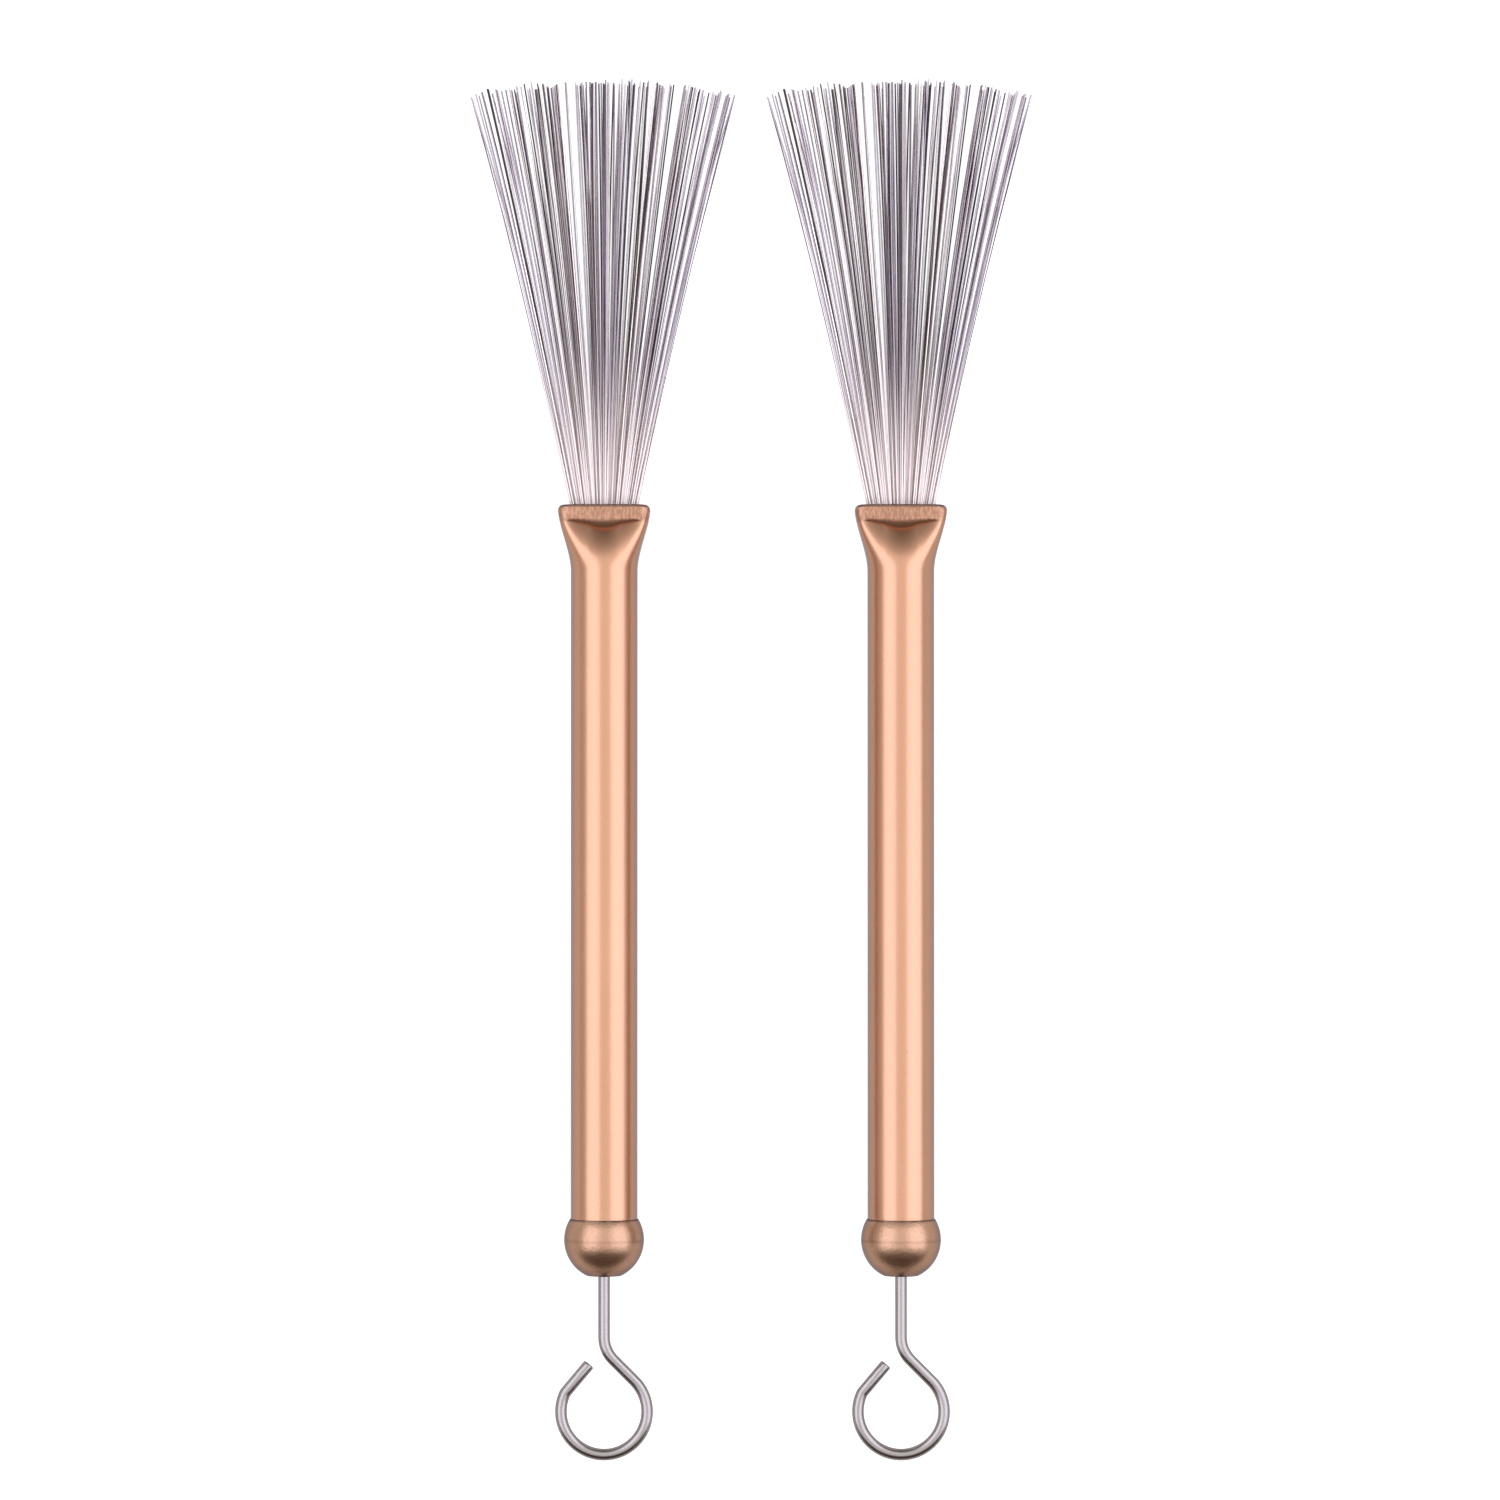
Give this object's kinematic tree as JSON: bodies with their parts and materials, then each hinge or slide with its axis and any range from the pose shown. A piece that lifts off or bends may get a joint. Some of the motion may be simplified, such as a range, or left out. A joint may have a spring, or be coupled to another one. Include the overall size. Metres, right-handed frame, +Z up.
{
  "type": "wire drum brushes",
  "caption": "Retractable wire drum brushes, each a metal tube handle with a flared mouth, a fan of spring wires and a pull rod ending in a hanging loop.",
  "frame": {"origin": "centre of the pair's footprint, on the table that both brushes lie on", "axes": "+Y along the brushes towards the wire tips, +X across the pair to the right brush, +Z up from the table"},
  "size_m": [0.1358, 0.3296, 0.0191],
  "materials": {
    "handle_metal": "blasted and anodised rose copper",
    "knob_metal": "coarser blasted and anodised rose copper",
    "rod_steel": "drawn bright steel",
    "wire_steel": "spring wire",
    "nylon": "natural nylon",
    "rubber": "black rubber",
    "ferrule_brass": "crimped brass"
  },
  "bodies": {
    "left_handle": {"left_handle_tube": "handle_metal", "left_end_knob": "knob_metal", "left_guide_bush": "nylon", "left_end_bumper": "rubber"},
    "left_rod": {"left_pull_rod": "rod_steel", "left_slider": "nylon", "left_slider_rings": "rubber", "left_lock_washer": "rod_steel", "left_crimp_ferrule": "ferrule_brass", "left_wires": "wire_steel"},
    "right_handle": {"right_handle_tube": "handle_metal", "right_end_knob": "knob_metal", "right_guide_bush": "nylon", "right_end_bumper": "rubber"},
    "right_rod": {"right_pull_rod": "rod_steel", "right_slider": "nylon", "right_slider_rings": "rubber", "right_lock_washer": "rod_steel", "right_crimp_ferrule": "ferrule_brass", "right_wires": "wire_steel"}
  },
  "joints": [
    {"name": "left_rod_slide", "type": "slide", "parent": "left_handle", "child": "left_rod", "axis": [0, -1, 0.0098], "range_m": [0, 0.105], "deforming": ["left_wires"]},
    {"name": "right_brush_lift", "type": "slide", "parent": "left_handle", "child": "right_handle", "axis": [0, 0, 1], "range_m": [0, 0.15]},
    {"name": "right_rod_slide", "type": "slide", "parent": "right_handle", "child": "right_rod", "axis": [0, -1, 0.0098], "range_m": [0, 0.105], "deforming": ["right_wires"]}
  ]
}
